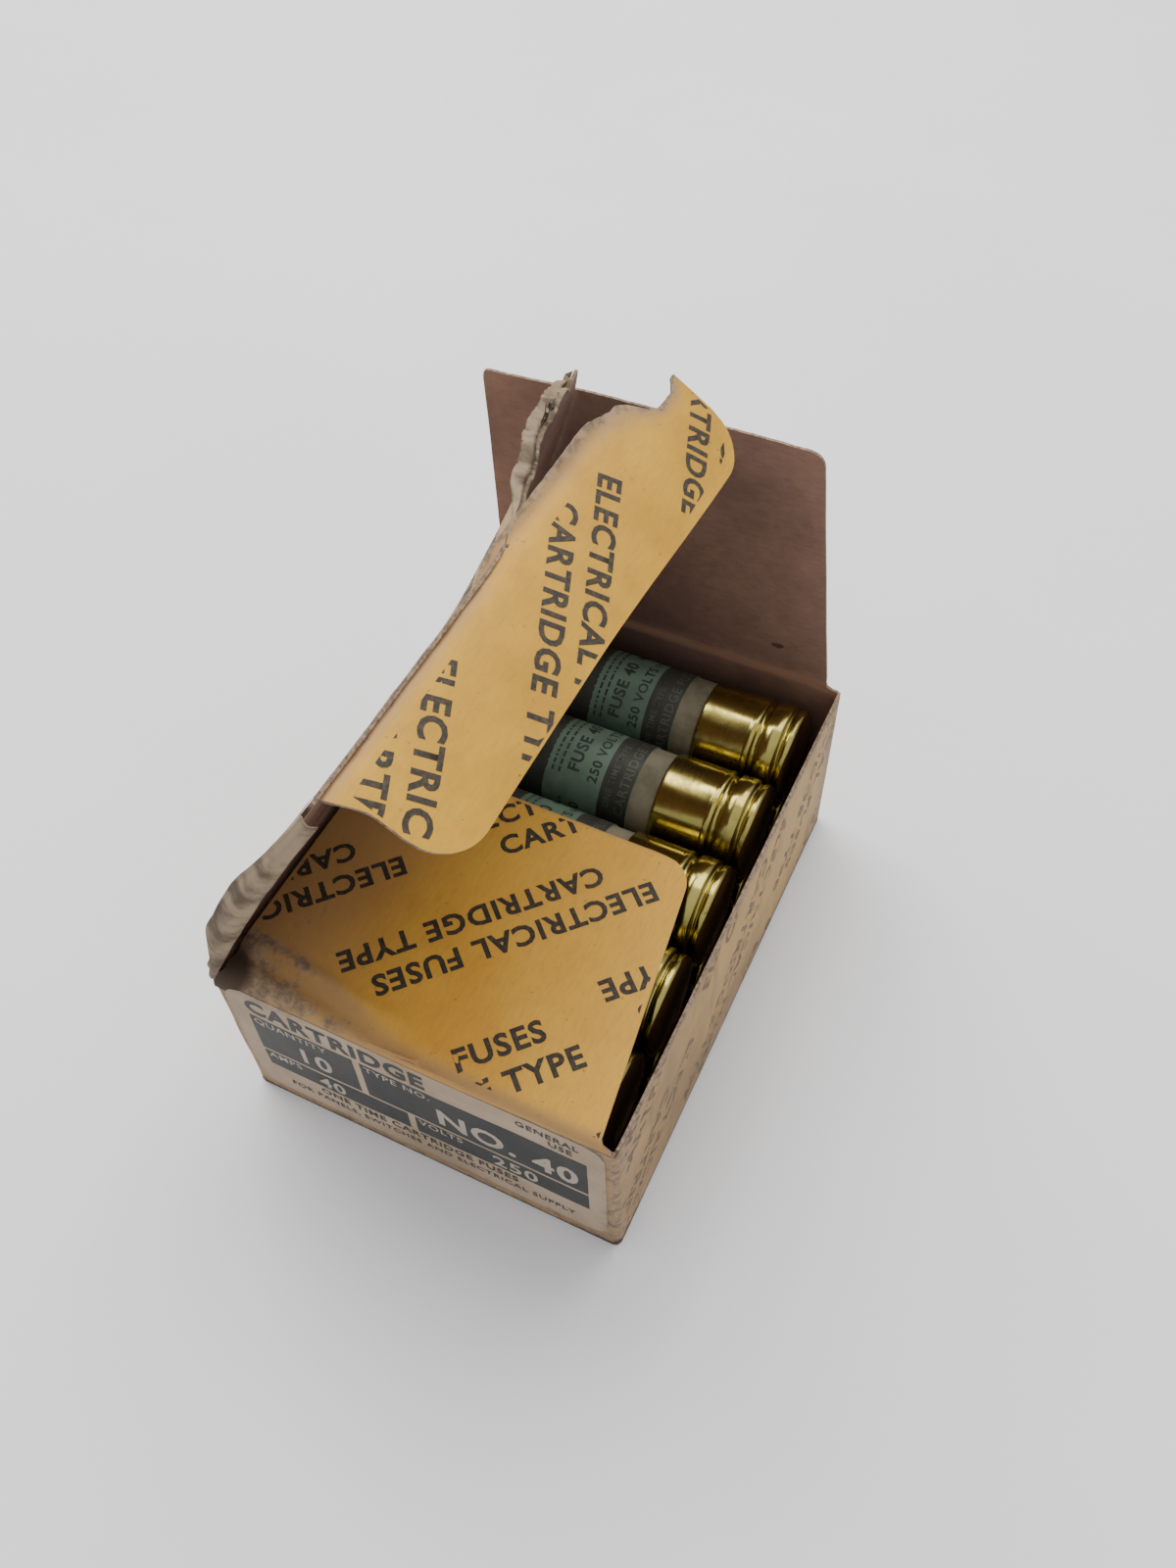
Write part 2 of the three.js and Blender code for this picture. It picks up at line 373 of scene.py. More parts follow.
SHEET_SET = [YELLOW, BROWN, EDGE]  # outer face, inner face and cut edge of a board
WALL_SET = [YELLOW_WALL, BROWN, EDGE]
TUCK_SET = [SHADED_TUCK_PRINT, BROWN, EDGE]


# ---- folded board

def normal_at(surface, u, v, step=0.3):
    along = surface(u + step, v) - surface(u - step, v)
    across = surface(u, v + step) - surface(u, v - step)
    return along.cross(across).normalized()


def sheet_faces(columns, rows):
    """The faces of a two-sided sheet whose inner vertices follow its outer ones: the outer and
    inner faces in turn, and the rim between them."""
    wide = columns + 1
    count = wide * (rows + 1)
    sides = []
    for j in range(rows):
        for i in range(columns):
            a = j * wide + i
            b, c, d = a + 1, a + wide + 1, a + wide
            sides += [(a, b, c, d), (d + count, c + count, b + count, a + count)]
    rim = list(range(columns)) + [j * wide + columns for j in range(rows)] \
        + [rows * wide + i for i in range(columns, 0, -1)] + [j * wide for j in range(rows, 0, -1)]
    return sides, [(b, a, a + count, b + count) for a, b in zip(rim, rim[1:] + rim[:1])]


def board(name, surface, outline, steps, wear, materials=SHEET_SET, thickness=BOARD):
    """A sheet of board. surface(u, v) is its printed face in mm, with the print on the side of
    u cross v; outline(a, b) gives (u, v) for a and b from 0 to 1."""
    columns, rows = steps
    outer, inner, worn = [], [], []
    for j in range(rows + 1):
        for i in range(columns + 1):
            u, v = outline(i / columns, j / rows)
            point = surface(u, v)
            outer.append(point)
            inner.append(point - normal_at(surface, u, v) * thickness)
            worn.append(wear(u, v))
    sides, rim = sheet_faces(columns, rows)
    indices = [0, 1] * (columns * rows) + [2] * len(rim)
    made = make_object(name, outer + inner, sides + rim, materials, indices, worn + worn)
    sharpen(made, 50)
    return made


def fold_half(radius):
    """Half the length of a sheet's quarter turn."""
    return radius * math.pi / 4


def corner_fold(s, radius):
    """The path of a sheet that runs up a wall and turns level, inward: (inward, up) from the
    sharp corner, at a distance s past it."""
    half = fold_half(radius)
    if s < -half:
        return 0.0, -radius + (s + half)
    if s > half:
        return radius + (s - half), 0.0
    angle = (s + half) / radius
    return radius * (1 - math.cos(angle)), -radius + radius * math.sin(angle)


# ---- print on board

def text_mesh(body, size, bold):
    curve = bpy.data.curves.new("wording", "FONT")
    curve.body = body
    curve.size = size
    curve.offset = bold
    curve.space_character = 1.12
    curve.resolution_u = 3
    holder = bpy.data.objects.new("wording", curve)
    bpy.context.scene.collection.objects.link(holder)
    bpy.context.view_layer.update()
    made = bpy.data.meshes.new_from_object(holder.evaluated_get(bpy.context.evaluated_depsgraph_get()))
    bpy.data.objects.remove(holder)
    bpy.data.curves.remove(curve)
    return made


def rectangle_mesh(x0, y0, x1, y1):
    made = bpy.data.meshes.new("block")
    made.from_pydata([(x0, y0, 0), (x1, y0, 0), (x1, y1, 0), (x0, y1, 0)], [], [(0, 1, 2, 3)])
    return made


def drape(name, pieces, surface, clip, material, lift=PRINT_LIFT, grid=2.5):
    """Flat meshes, each with its 2D matrix, cut to a convex outline and laid on a surface."""
    flat = bmesh.new()
    for mesh, matrix in pieces:
        part = bmesh.new()
        part.from_mesh(mesh)
        part.transform(matrix)
        scratch = bpy.data.meshes.new("part")
        part.to_mesh(scratch)
        flat.from_mesh(scratch)
        part.free()
        bpy.data.meshes.remove(scratch)
    for start, end in zip(clip, clip[1:] + clip[:1]):
        edge = Vector((end[0] - start[0], end[1] - start[1], 0))
        cut(flat, (start[0], start[1], 0), (edge.y, -edge.x, 0), True)
    lows = [min(p[k] for p in clip) for k in (0, 1)]
    highs = [max(p[k] for p in clip) for k in (0, 1)]
    for axis in (0, 1):
        place = math.ceil(lows[axis] / grid) * grid
        while place < highs[axis]:
            cut(flat, (place, place, 0), (1 - axis, axis, 0), False)
            place += grid
    bmesh.ops.triangulate(flat, faces=flat.faces)
    for vert in flat.verts:
        u, v = vert.co.x, vert.co.y
        vert.co = (surface(u, v) + normal_at(surface, u, v) * lift) * MM
    mesh = bpy.data.meshes.new(name)
    flat.to_mesh(mesh)
    flat.free()
    mesh.materials.append(material)
    made = bpy.data.objects.new(name, mesh)
    bpy.context.scene.collection.objects.link(made)
    return made


def cut(flat, place, direction, clear):
    """Splits a flat mesh along a line, and drops what lies beyond it if clear is set."""
    geometry = flat.verts[:] + flat.edges[:] + flat.faces[:]
    bmesh.ops.bisect_plane(flat, geom=geometry, plane_co=place, plane_no=direction,
                           clear_outer=clear, dist=1e-5)


LINES = ("ELECTRICAL FUSES", "CARTRIDGE TYPE")
PRINT_SIZE = 5.9  # letter body, mm
PRINT_WEIGHT = 0.19
LINE_PITCH = 7.0
LINE_START = -29.0  # where the first line begins, from the middle of its pair
LINE_INDENT = 8.0
PAIR_PITCH = 23.0
REPEAT = 68.0
ROW_SHIFT = 26.0  # each row of pairs against the row before it
SLANT = 42  # degrees, on the walls and the rear flap


def diagonal_print(name, surface, clip, degrees, shift=(0.0, 0.0), material=INK):
    """The carton's repeat pattern: pairs of lines on the slant, every other pair upside down."""
    words = [text_mesh(line, PRINT_SIZE, PRINT_WEIGHT) for line in LINES]
    center = [sum(p[k] for p in clip) / len(clip) for k in (0, 1)]
    slant = Matrix.Rotation(math.radians(degrees), 4, "Z")
    base = Matrix.Translation((center[0] + shift[0], center[1] + shift[1], 0)) @ slant
    pieces = []
    for row in range(-4, 5):
        for column in range(-3, 4):
            flip = Matrix.Rotation(math.pi * ((row + column + 1) % 2), 4, "Z")
            along = column * REPEAT + row * ROW_SHIFT
            cell = base @ Matrix.Translation((along, row * PAIR_PITCH, 0)) @ flip
            for index, word in enumerate(words):
                offset = Matrix.Translation((LINE_START + index * LINE_INDENT, -index * LINE_PITCH, 0))
                pieces.append((word, cell @ offset))
    return drape(name, pieces, surface, clip, material)


def rides(piece, body, slot, *nodes):
    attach(piece, body)
    if nodes:
        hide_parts(*nodes)


# ---- walls

CORNER = 1.6  # outside radius of the sleeve's upright corners


def roll_radius(x):
    """The front crease is crushed to a wide roll at the lid's side and is tight at the other."""
    return lerp(5.0, 1.3, smooth((x + HALF_X) / (2 * HALF_X)))


def sleeve_outline():
    """Points and outward normals once round the sleeve, from above, at the middle of a wall."""
    made = []
    for side, (sx, sy) in enumerate(((1, -1), (1, 1), (-1, 1), (-1, -1))):
        cx, cy = sx * (HALF_X - CORNER), sy * (HALF_Y - CORNER)
        start = (side - 1) * math.pi / 2
        for k in range(7):
            angle = start + k * math.pi / 12
            direction = Vector((math.cos(angle), math.sin(angle), 0))
            made.append((Vector((cx, cy, 0)) + direction * CORNER, direction))
        nx, ny = ((1, 1), (-1, 1), (-1, -1), (1, -1))[side]
        end = Vector((nx * (HALF_X - CORNER), ny * (HALF_Y - CORNER), 0))
        end += direction * CORNER
        steps = 56 if side % 2 == 0 else 42
        first = made[-1][0]
        for k in range(1, steps):
            made.append((first.lerp(end, k / steps), direction))
    return made


def wall_top(point, direction):
    """The height at which the sleeve's wall ends."""
    ragged = 0.12 * rough(point.x, point.y, 4.0, 3)
    if direction.x < -0.5 and abs(point.y) < LID_HALF:
        return WALL_TOP - LID_ROOT + 0.2
    if direction.y < -0.5:
        return FLAP_TOP - roll_radius(point.x)
    if direction.y > 0.5:
        return FLAP_TOP - 0.6
    return WALL_TOP - 0.25 + ragged


def wall_bulge(point, direction, height):
    """The long walls belly out a little, and every wall is uneven."""
    along = point.y / HALF_Y if abs(direction.x) > 0.5 else point.x / HALF_X
    belly = 0.5 * (1 - along ** 2) * math.sin(math.pi * height)
    uneven = 0.16 * rough(point.x + point.y, height * WALL_TOP, 7.0, 16)
    return belly * (1.0 if abs(direction.x) > 0.5 else 0.3) + uneven * math.sin(math.pi * height) ** 0.5


def wall_wear(point, height):
    edge = max(0.0, 1 - min(height, 1 - height) * WALL_TOP / 2.2)
    inset = min(HALF_X - abs(point.x), HALF_Y - abs(point.y))
    upright = max(0.0, 1 - (inset + 0.4) / 2.6) if inset > 0.2 else 0.0
    corner = smooth((math.hypot(abs(point.x) / HALF_X, abs(point.y) / HALF_Y) - 1.25) / 0.16)
    low = math.exp(-height * WALL_TOP / 3.0)
    return 0.16 + 0.6 * edge + 0.45 * low + 0.35 * corner + 0.2 * upright


def make_sleeve():
    outline = sleeve_outline()
    rows = 26
    outer, inner, worn, faces, indices = [], [], [], [], []
    for j in range(rows + 1):
        for point, direction in outline:
            height = j / rows
            z = lerp(0.15, wall_top(point, direction), height)
            out = point + direction * wall_bulge(point, direction, height) + Vector((0, 0, z))
            outer.append(out)
            inner.append(out - direction * BOARD)
            worn.append(wall_wear(point, height))
    around = len(outline)
    count = len(outer)
    for j in range(rows):
        for i in range(around):
            k = (i + 1) % around
            a, b, c, d = j * around + i, j * around + k, (j + 1) * around + k, (j + 1) * around + i
            faces += [(a, b, c, d), (d + count, c + count, b + count, a + count)]
            indices += [0, 1]
    for i in range(around):
        k = (i + 1) % around
        top = rows * around
        faces += [(top + i, top + k, top + k + count, top + i + count),
                  (k, i, i + count, k + count)]
        indices += [2, 2]
    made = make_object("carton_sleeve", outer + inner, faces, WALL_SET,
                       indices, worn + worn)
    sharpen(made, 50)
    rides(made, "carton", "printed_board", "front_end_panel", "rear_end_panel", "left_side_panel",
          "right_side_panel")


def front_surface(u, v):
    """The front wall and its dust flap as one sheet: u along X, v up the wall, past the crease
    at 0, and then back along the flap."""
    radius = roll_radius(u)
    inward, up = corner_fold(v, radius)
    point = Vector((u, -HALF_Y - 0.03 + inward, FLAP_TOP + up))
    if v > 0:
        near = smooth(v / 6)
        spring = 0.35 * smooth(v / 30)
        ridge_place = lerp(8.5, 2.0, smooth((u + HALF_X) / (1.7 * HALF_X)))
        ridge = 0.5 * math.exp(-((v - ridge_place - 0.8 * rough(u, 0, 9.0, 9)) / 1.1) ** 2)
        ridge *= 1 - smooth((u + 6) / 40)
        dent = -1.2 * math.exp(-((v - ridge_place + 3.6) / 1.7) ** 2) * (1 - smooth((u + 15) / 50))
        waves = 0.12 * rough(u, v, 2.0, 18) + 0.05 * rough(u, v, 3.0, 5) * (1 - near)
        under_lid = math.sin(math.pi * min(1.0, max(0.0, (u + HALF_X) / LID_REACH)))
        point.z += min(spring + ridge + dent + waves * near, 0.75 * LID_BELLY * under_lid)
    else:
        height = 1 + v / FLAP_TOP
        fade = smooth((-v - fold_half(radius)) / 6)
        belly = wall_bulge(Vector((u, -HALF_Y, 0)), Vector((0, -1, 0)), max(0.0, min(1.0, height)))
        point.y -= belly * fade
    return point


def right_surface(u, v):
    """The outside of the wall at +X: u along Y, v up."""
    point = Vector((HALF_X, u, 0))
    bulge = wall_bulge(point, Vector((1, 0, 0)), min(1.0, max(0.0, v / WALL_TOP)))
    return Vector((HALF_X + bulge, u, v))


def left_surface(u, v):
    """The outside of the wall at -X: u against Y, v up."""
    point = Vector((-HALF_X, -u, 0))
    bulge = wall_bulge(point, Vector((-1, 0, 0)), min(1.0, max(0.0, v / WALL_TOP)))
    return Vector((-HALF_X - bulge, -u, v))


def rear_wall_surface(u, v):
    """The outside of the rear wall: u against X, v up."""
    point = Vector((-u, HALF_Y, 0))
    bulge = wall_bulge(point, Vector((0, 1, 0)), min(1.0, max(0.0, v / WALL_TOP)))
    return Vector((-u, HALF_Y + bulge, v))


def box_clip(u0, v0, u1, v1):
    return [(u0, v0), (u1, v0), (u1, v1), (u0, v1)]


def print_walls():
    long_clip = box_clip(-HALF_Y + 3, 1.5, HALF_Y - 3, WALL_TOP - 1.5)
    short_clip = box_clip(-HALF_X + 3, 1.5, HALF_X - 3, WALL_TOP - 3)
    for name, surface, clip in (("right_wall_print", right_surface, long_clip),
                                ("left_wall_print", left_surface, long_clip),
                                ("rear_wall_print", rear_wall_surface, short_clip)):
        rides(diagonal_print(name, surface, clip, SLANT, (0, 0), FADED_INK), "carton",
              "printed_board")


# ---- dust flaps

LEFT_EDGE = FLAP_LOW.x
ROOT_EDGE = FLAP_HIGH.x
TIP_EDGE = HALF_X - 10.8


def dust_edges(v, corner=5.5):
    """The flap's lid-side and tuck-side edges, in X, at a distance v past its crease."""
    t = max(0.0, v) / FLAP_DEPTH
    right = lerp(ROOT_EDGE, TIP_EDGE, t)
    left = LEFT_EDGE
    past = v - (FLAP_DEPTH - corner)
    if past > 0:
        right -= corner - math.sqrt(max(0.0, corner ** 2 - past ** 2))
        left += 0.8 - math.sqrt(max(0.0, 0.64 - (0.8 * past / corner) ** 2))
    if v < 3:
        right = lerp(HALF_X - 0.6, right, smooth((v + 1.2) / 2.2))
        left = lerp(-HALF_X + 0.4, left, smooth((v + 1.2) / 2.2))
    return left, right


def dust_outline(start, corner=5.5):
    def outline(a, b):
        shaped = 1 - (1 - b) ** 1.15
        left_guess = lerp(-HALF_X, HALF_X, a)
        v = lerp(start(left_guess), FLAP_DEPTH, shaped)
        left, right = dust_edges(v, corner)
        u = lerp(left, right, a)
        frayed = 0.1 * rough(u, v, 5.0, 2.5)
        return u, v + (frayed if b == 1 else 0)
    return outline


def make_front_flap():
    outline = dust_outline(lambda x: -fold_half(roll_radius(x)) - 0.1)

    def wear(u, v):
        # left weights the flap's side under the lid; in the wear below it is painted shade, a greyer, darker
        # tint where the lid shades the flap.
        left = smooth((-u + 4) / 40)
        crease = math.exp(-(v / lerp(2.0, 5.0, left)) ** 2)
        ridge = math.exp(-((v - lerp(2, 8.5, left)) / 1.2) ** 2) * left
        # The front-left corner patch is dirt, and partly painted shadow under the lid's crushed strip.
        corner = math.exp(-(math.hypot(u + HALF_X, v - 1) / 6.5) ** 2)
        edge = 0.25 * math.exp(-(FLAP_DEPTH - v) / 0.5)
        return 0.05 + 0.3 * left + 0.3 * crease + 0.3 * ridge + 1.3 * corner + edge
    made = board("front_flap_board", front_surface, outline, (96, 84), wear)
    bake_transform(made)
    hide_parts("front_dust_flap")
    clip = [(LEFT_EDGE + 0.6, 1.0), (ROOT_EDGE - 0.6, 1.0), (TIP_EDGE - 0.4, FLAP_DEPTH - 5.5),
            (TIP_EDGE - 3, FLAP_DEPTH - 0.8), (LEFT_EDGE + 1, FLAP_DEPTH - 0.5)]
    rides(diagonal_print("front_flap_print", front_surface, clip, 47, (1, -4)),
          "front_dust_flap", "printed_board")


def rear_surface(u, v):
    """The standing rear flap: u against X, v up from the crease; its print faces outward."""
    x = -u
    lean = 0.9 * smooth(v / FLAP_DEPTH) * (v / FLAP_DEPTH)
    curl = 1.4 * (v / FLAP_DEPTH) ** 2 * smooth((-x - 10) / 30)
    waves = 0.25 * rough(x, v, 12.0, 25) * smooth(v / 8)
    crease = 0.05 - 0.4 * math.exp(-((v - 1.4) / 0.8) ** 2)
    return Vector((x, HALF_Y + lean - curl + waves + crease, FLAP_TOP - 0.6 + v))


def make_rear_flap():
    inner = dust_outline(lambda x: -1.4, 2.6)

    def outline(a, b):
        u, v = inner(1 - a, b)
        return -u, v

    def wear(u, v):
        crease = math.exp(-((v - 0.6) / 1.5) ** 2)
        return 0.16 + 0.7 * crease + 0.2 * math.exp(-(FLAP_DEPTH - v) / 1.0)
    made = board("rear_flap_board", rear_surface, outline, (80, 64), wear, WALL_SET)
    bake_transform(made)
    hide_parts("rear_dust_flap")
    clip = [(-TIP_EDGE + 1, FLAP_DEPTH - 6), (-ROOT_EDGE + 1, 1.5), (-LEFT_EDGE - 1, 1.5),
            (-LEFT_EDGE - 1, FLAP_DEPTH - 1), (-TIP_EDGE + 5, FLAP_DEPTH - 1)]
    rides(diagonal_print("rear_flap_print", rear_surface, clip, SLANT, (0, 0), FADED_INK),
          "rear_dust_flap", "printed_board")


# ---- lid and tuck flap

LID_OUT = Vector((-math.sin(LID_ANGLE), 0, math.cos(LID_ANGLE)))
LID_UP = Vector((math.cos(LID_ANGLE), 0, math.sin(LID_ANGLE)))
TUCK_UP = Vector((math.cos(TUCK_ANGLE), 0, math.sin(TUCK_ANGLE)))
TUCK_OUT = Vector((-math.sin(TUCK_ANGLE), 0, math.cos(TUCK_ANGLE)))
TEAR_START = -8.0  # Y at which the crease between lid and tuck flap is still whole
LID_TWIST = 7.0  # degrees that the torn rear of the lid stands further open
LID_BELLY = 0.9
LID_ROOT = 2.5  # how far the crease reaches down the left wall


def tear(y):
    """0 where the crease is whole, 1 at the torn rear end."""
    return smooth((y - TEAR_START) / (HALF_Y - TEAR_START))


def lid_surface(u, v):
    """The lid's printed face: u against Y, v from its crease. Its torn rear bends open."""
    y = -u
    twist = math.tan(math.radians(LID_TWIST)) * tear(y)
    out = BOARD + v * twist * smooth(v / LID_REACH + 0.15)
    belly = LID_BELLY * math.sin(math.pi * min(1.0, max(0.0, v / LID_REACH)))
    waves = 0.3 * rough(y, v, 21.0, 22) * belly / LID_BELLY
    torn_lip = 1.2 * math.exp(-(lid_edge(y) - v) / 5) * tear(y) * (1 + 0.8 * rough(y, 0, 22.0, 9))
    leaf = LID_AXIS + Vector((0, y, 0)) + LID_UP * v + LID_OUT * (out + belly + waves + torn_lip)
    wall = Vector((LID_AXIS.x - 0.08, y, LID_AXIS.z + v))
    return wall.lerp(leaf, smooth((v + LID_ROOT) / (LID_ROOT + 1.5)))


def lid_edge(y):
    """How far the lid reaches at a given Y: along the crease, then along the ragged tear."""
    ragged = 2.2 * rough(y, 0, 31.0, 10) + 1.0 * rough(y, 0, 32.0, 2.5)
    return LID_REACH - 0.3 - tear(y) * (15.0 - ragged) - 0.1 * rough(y, 0, 33.0, 2)


def make_lid():
    def outline(a, b):
        y = lerp(LID_HALF, -LID_HALF, a)
        ragged = 0.3 * rough(0, b * 80, 34.0, 6) if a in (0, 1) else 0
        v = lerp(-LID_ROOT, lid_edge(y), b ** 1.2)
        return -(y + ragged), v

    def wear(u, v):
        y = -u
        edge = math.exp(-(LID_REACH - v) / 3.5)
        front = math.exp(-(y + LID_HALF) / 3.5)
        crease = math.exp(-(v / 2) ** 2)
        return 0.1 + 0.8 * edge + 0.75 * front + 0.6 * crease
    made = board("lid_board", lid_surface, outline, (100, 76), wear, WALL_SET)
    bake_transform(made)
    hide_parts("lid_panel")
    clip = box_clip(-LID_HALF + 4, 3, LID_HALF - 4, LID_REACH - 8)
    rides(diagonal_print("lid_print", lid_surface, clip, 43), "lid", "printed_board")


def tuck_surface(u, v):
    """The tuck flap's printed face: u against Y, v from the crease to the free edge."""
    y = -u
    bow = 0.9 * math.sin(math.pi * min(1.0, max(0.0, v / TUCK_DEPTH))) * (0.4 + 0.6 * tear(y))
    roll = -1.6 * math.exp(-max(0.0, v) / 1.6) * (1 - tear(y))
    loose = 1.0 * tear(y) * math.exp(-v / 4)
    waves = 0.2 * rough(y, v, 41.0, 16) + 0.25 * rough(y, v, 42.0, 6) * math.exp(-v / 3)
    return TUCK_AXIS + Vector((0, y, 0)) + TUCK_UP * v + TUCK_OUT * (BOARD + bow + roll + loose + waves)


TUCK_CORNER = 9.0


def tuck_reach(y):
    """The free edge, with its two rounded corners; the flap is a little deeper at the rear."""
    depth = TUCK_DEPTH + 1.8 * smooth((y + 10) / 60)
    past = abs(y) - (TUCK_HALF - TUCK_CORNER)
    if past <= 0:
        return depth
    return depth - TUCK_CORNER + math.sqrt(max(0.0, TUCK_CORNER ** 2 - past ** 2))


def tuck_root(y):
    """The crease side, ragged where it is torn and cut back behind its rear tip."""
    ragged = 0.8 * rough(y, 0, 51.0, 8) + 0.4 * rough(y, 0, 52.0, 2)
    extra = 1.6 * smooth((y + 12) / 10) * (1 - smooth((y - 26) / 10))
    cut_back = 6.6 * smooth((y - 36) / 7) - 1.6 * smooth((y - TUCK_HALF + 4) / 4)
    return -0.6 - extra + tear(y) * ragged + cut_back


def make_tuck():
    def outline(a, b):
        eased = 0.5 - 0.5 * math.cos(math.pi * a)
        y = lerp(TUCK_HALF, -TUCK_HALF, lerp(a, eased, 0.6))
        v = lerp(tuck_root(y), tuck_reach(y), b)
        flare = 2.0 * (1 - smooth(v / 7.5)) * smooth((-y - TUCK_HALF + 12) / 12)
        return -y + flare, v

    def wear(u, v):
        y = -u
        past = max(0.0, v - tuck_root(y))
        root = math.exp(-past / lerp(1.2, 3.0, tear(y) * (1 - smooth((y - 38) / 4))))
        return 0.04 + 0.8 * root
    made = board("tuck_board", tuck_surface, outline, (110, 30), wear, TUCK_SET)
    rides(made, "tuck", "printed_board", "tuck_flap")
    corner = TUCK_HALF - TUCK_CORNER
    arc = [(TUCK_HALF - 0.5, 3.0)]
    for sign in (1, -1):
        for k in range(5):
            angle = math.radians(22.5 * k if sign == 1 else 90 + 22.5 * k)
            arc.append((sign * corner + (TUCK_CORNER - 0.5) * math.cos(angle),
                        TUCK_DEPTH - TUCK_CORNER + (TUCK_CORNER - 0.5) * math.sin(angle)))
    arc.append((-TUCK_HALF + 0.5, 3.0))
    rides(diagonal_print("tuck_print", tuck_surface, arc, 203.7, (4, 1)), "tuck", "printed_board")


def crushed_edge(name, path, width, seed, inward, clear, steps=70):
    """A crushed, delaminated edge: a ragged strip of ply that turns out of the lid's face and
    comes back to it. path(t) gives (y, v) on the lid, and width(t) the strip's width; the strip
    starts inward of the lid's inner face and stands clear of the edge."""
    def strip(u, v):
        y, along = path(v)
        wide = width(v)
        root = lid_surface(-y, along) - LID_OUT * (BOARD + inward)
        crumple = 0.7 * rough(u * wide, v * 18, seed, 3.5, 2) + 0.5 * rough(0, v * 100, seed, 24, 1)
        rolled = math.sin(math.pi * min(1.0, u * 1.1))
        forward = Vector((0, -1, 0)) * (clear + 1.3 * rolled * wide / 5.5 + 0.5 * abs(crumple) * u)
        return root + LID_OUT * (wide * u + 0.3 * crumple * u) + forward + LID_UP * 0.6 * crumple * u

    def surface(u, v):
        if u <= 1:
            return strip(u, v)
        y, along = path(v)
        anchor = lid_surface(-(y + 1.2), along) + LID_OUT * 0.2
        return strip(1, v).lerp(anchor, (u - 1) / 0.3)

    columns = 16
    points = [surface(1.3 * (1 - i / columns), j / steps)
              for j in range(steps + 1) for i in range(columns + 1)]
    backs = [point + Vector((0, 0.28, 0)) + LID_OUT * 0.05 for point in points]
    sides, rim = sheet_faces(columns, steps)
    made = make_object(name, points + backs, sides + rim, [TORN])
    face_outward(made)
    rides(made, "lid", "printed_board")


def make_crushed_edges():
    def front_path(t):
        return -LID_HALF - 0.1, lerp(1.5, LID_REACH - 2.0, t)

    def front_width(t):
        return 1.2 + 4.4 * smooth(t / 0.3) * (1 - 0.62 * smooth((t - 0.45) / 0.5))

    def tear_path(t):
        y = lerp(TEAR_START + 8, LID_HALF - 2.2, t)
        return y, lid_edge(y) + 0.2

    def tear_width(t):
        return 0.5 + 3.3 * smooth(t / 0.35) * (1 - 0.5 * smooth((t - 0.8) / 0.2))
    crushed_edge("lid_front_crushed", front_path, front_width, 61.0, 2.2, 1.75)
    crushed_edge("lid_torn_crushed", tear_path, tear_width, 66.0, 0.3, 0.35)


# ---- end label

LABEL_LOW, LABEL_HIGH = node_box("front_label")


def make_label():
    low, high = LABEL_LOW.z - FLAP_TOP, LABEL_HIGH.z - FLAP_TOP
    left, right = LABEL_LOW.x, LABEL_HIGH.x
    corner = 4.0

    def surface(u, v):
        return front_surface(u, v) + normal_at(front_surface, u, v) * 0.1

    def outline(a, b):
        v = lerp(low, high, b)
        past = max(low + corner - v, v - (high - corner), 0.0)
        inset = corner - math.sqrt(max(0.0, corner ** 2 - past ** 2))
        return lerp(left + inset, right - inset, a), v

    def wear(u, v):
        edge = max(math.exp(-(u - left) / 2), math.exp(-(right - u) / 3), math.exp(-(v - low) / 1.5))
        grimy = math.exp(-(math.hypot(u - left - 12, v - high) / 8) ** 2)
        return 0.05 + 0.45 * edge + 0.5 * grimy
    made = board("end_label", surface, outline, (110, 60), wear, [LABEL] * 3, 0.08)
    rides(made, "carton", "label_paper", "front_label")
    print_label(surface, left, right, low, high)


def print_label(surface, left, right, low, high):
    """Dark panels with pale dividing lines, and generic wording."""
    width, height = right - left, high - low

    def spot(x, y):
        return left + x * width, low + y * height
    blocks = [(0.055, 0.455, 0.345, 0.80), (0.055, 0.265, 0.47, 0.435),
              (0.365, 0.455, 0.955, 0.80), (0.49, 0.265, 0.955, 0.435)]
    pieces = []
    for x0, y0, x1, y1 in blocks:
        pieces.append((rectangle_mesh(*spot(x0, y0), *spot(x1, y1)), Matrix.Identity(4)))
    clip = box_clip(left + 1, low + 1, right - 1, high + 1.5)
    rides(drape("label_blocks", pieces, surface, clip, LABEL_DARK, 0.03), "carton", "label_paper")
    dark_words = [("CARTRIDGE", 0.055, 0.838, 6.4, 0.24), ("GENERAL", 0.78, 0.905, 2.6, 0.05),
                  ("USE", 0.86, 0.835, 2.6, 0.05),
                  ("ONE TIME CARTRIDGE FUSES", 0.20, 0.185, 3.0, 0.07),
                  ("FOR PANELS, SWITCHES AND ELECTRICAL SUPPLY", 0.10, 0.10, 2.5, 0.03)]
    pale_words = [("10", 0.165, 0.505, 7.6, 0.16), ("40", 0.21, 0.295, 5.6, 0.12),
                  ("NO. 40", 0.56, 0.51, 8.4, 0.26), ("250", 0.70, 0.295, 5.8, 0.12),
                  ("QUANTITY", 0.065, 0.73, 2.9, 0.03), ("AMPS", 0.065, 0.37, 2.9, 0.03),
                  ("VOLTS", 0.50, 0.37, 2.9, 0.03), ("TYPE NO.", 0.375, 0.73, 2.9, 0.03)]
    for name, words, material in (("label_dark_words", dark_words, LABEL_DARK),
                                  ("label_pale_words", pale_words, LABEL_LIGHT)):
        pieces = [(text_mesh(text, size, bold), Matrix.Translation((*spot(x, y), 0)))
                  for text, x, y, size, bold in words]
        rides(drape(name, pieces, surface, clip, material, 0.06), "carton", "label_paper")


# ---- carton's floor

